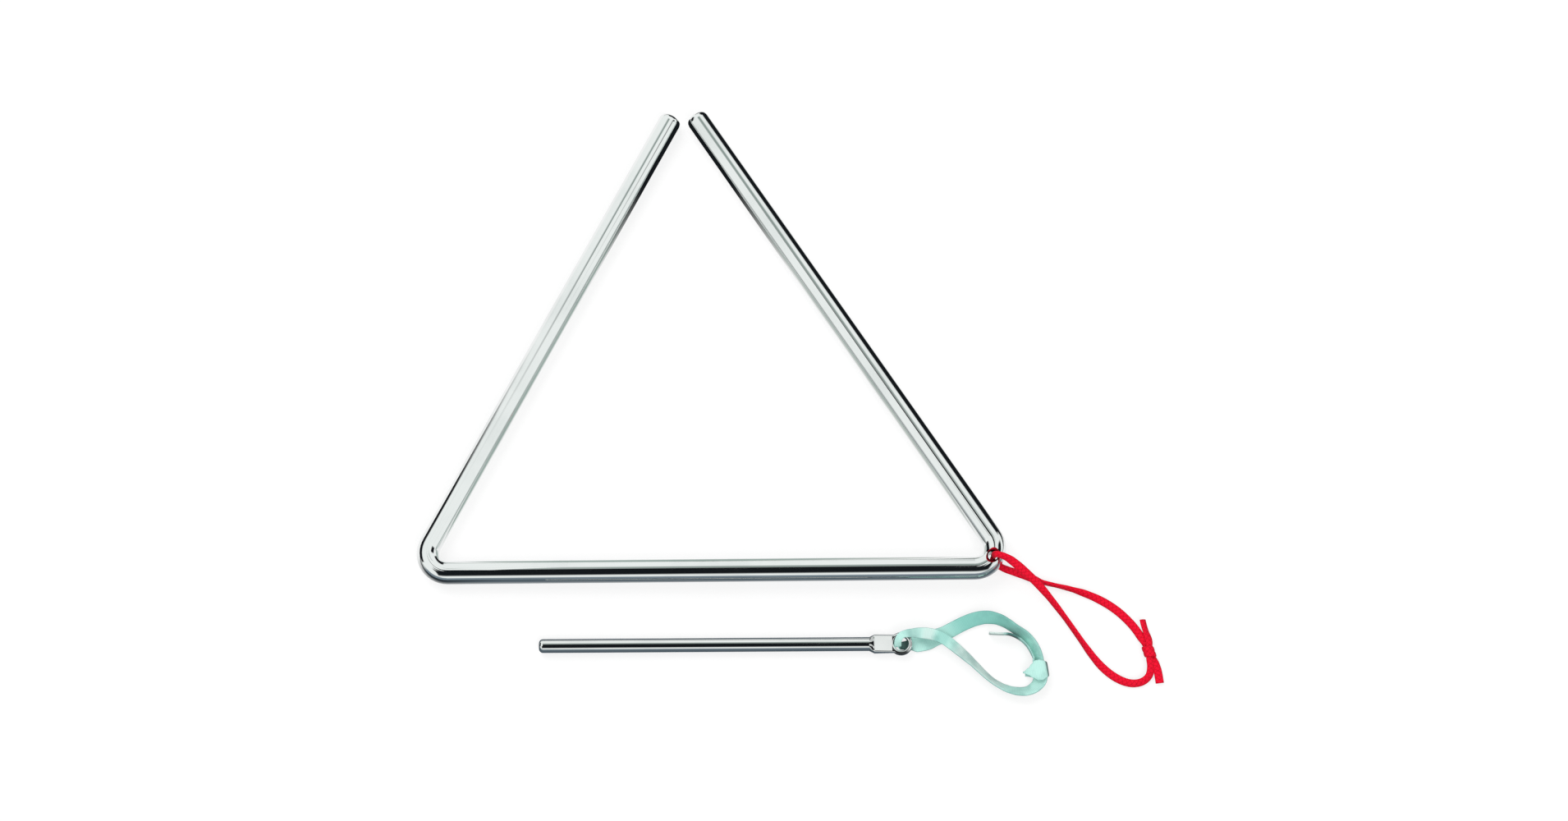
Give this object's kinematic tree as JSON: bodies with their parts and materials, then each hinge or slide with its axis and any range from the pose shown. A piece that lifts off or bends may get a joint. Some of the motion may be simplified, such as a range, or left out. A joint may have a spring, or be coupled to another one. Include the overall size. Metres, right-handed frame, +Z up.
{
  "type": "triangle instrument",
  "caption": "Bent round-rod percussion triangle, open at its top corner, with a red hanger cord through a drilled corner and a loose steel beater on a mint hand strap.",
  "frame": {"origin": "on the table, under the middle of the box round the bar and the beater", "axes": "+X along the base bar towards the drilled corner, +Y from the base bar to the open top corner, +Z up"},
  "size_m": [0.2577, 0.2133, 0.0136],
  "materials": {
    "bar_chrome": "polished plating",
    "beater_chrome": "polished plating",
    "red_cord": "smooth woven cord",
    "mint_lace": "smooth flat lace"
  },
  "bodies": {
    "triangle": {"triangle_bar": "bar_chrome"},
    "hanger": {"hanger_bight": "red_cord", "hanger_over_run": "red_cord", "hanger_under_run": "red_cord", "hanger_knot": "red_cord", "hanger_upper_tail": "red_cord", "hanger_lower_tail": "red_cord"},
    "beater": {"beater": "beater_chrome"},
    "strap": {"strap_bight": "mint_lace", "strap_upper_run": "mint_lace", "strap_lower_run": "mint_lace", "strap_knot": "mint_lace", "strap_long_tail": "mint_lace", "strap_short_tail": "mint_lace"}
  },
  "joints": [
    {"name": "hanger_swing", "type": "hinge", "parent": "triangle", "child": "hanger", "pos_m": [0.09739, -0.06598, 0.0067], "axis": [0, 0, 1], "range_deg": [-8, 88]},
    {"name": "beater_lift", "type": "slide", "parent": "triangle", "child": "beater", "axis": [0, 0, 1], "range_m": [0, 0.15]},
    {"name": "strap_swing", "type": "hinge", "parent": "beater", "child": "strap", "pos_m": [0.06865, -0.09531, 0.0024], "axis": [0, -1, 0], "range_deg": [0, 120]}
  ]
}
